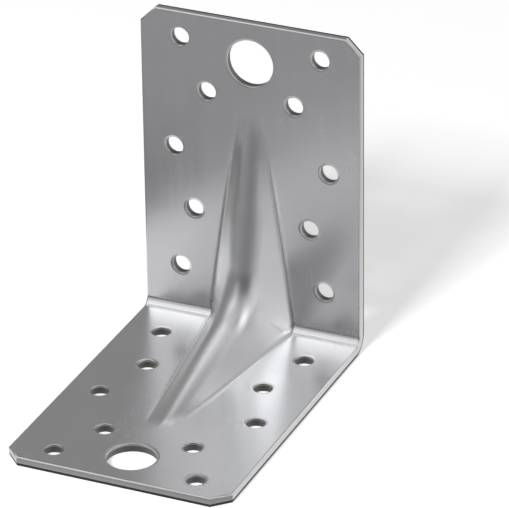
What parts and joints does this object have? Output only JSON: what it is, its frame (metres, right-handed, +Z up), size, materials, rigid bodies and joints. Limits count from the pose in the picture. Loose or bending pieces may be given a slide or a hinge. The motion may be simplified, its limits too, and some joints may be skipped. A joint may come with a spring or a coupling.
{
  "type": "ribbed corner brace bracket",
  "caption": "Right-angle sheet steel corner brace with a pressed stiffening rib across the bend, nail holes and a bolt hole in each flange.",
  "frame": {"origin": "on the underside of the base flange, at the centre of the overall box", "axes": "+Z up along the wall flange, +X from the wall flange towards the free end of the base flange, +Y across the strip"},
  "size_m": [0.09, 0.062, 0.09],
  "materials": {
    "galvanised_steel": "galvanised sheet steel, satin, slightly cloudy, with bright sheared edges"
  },
  "bodies": {
    "root": {"bracket": "galvanised_steel"}
  },
  "joints": []
}
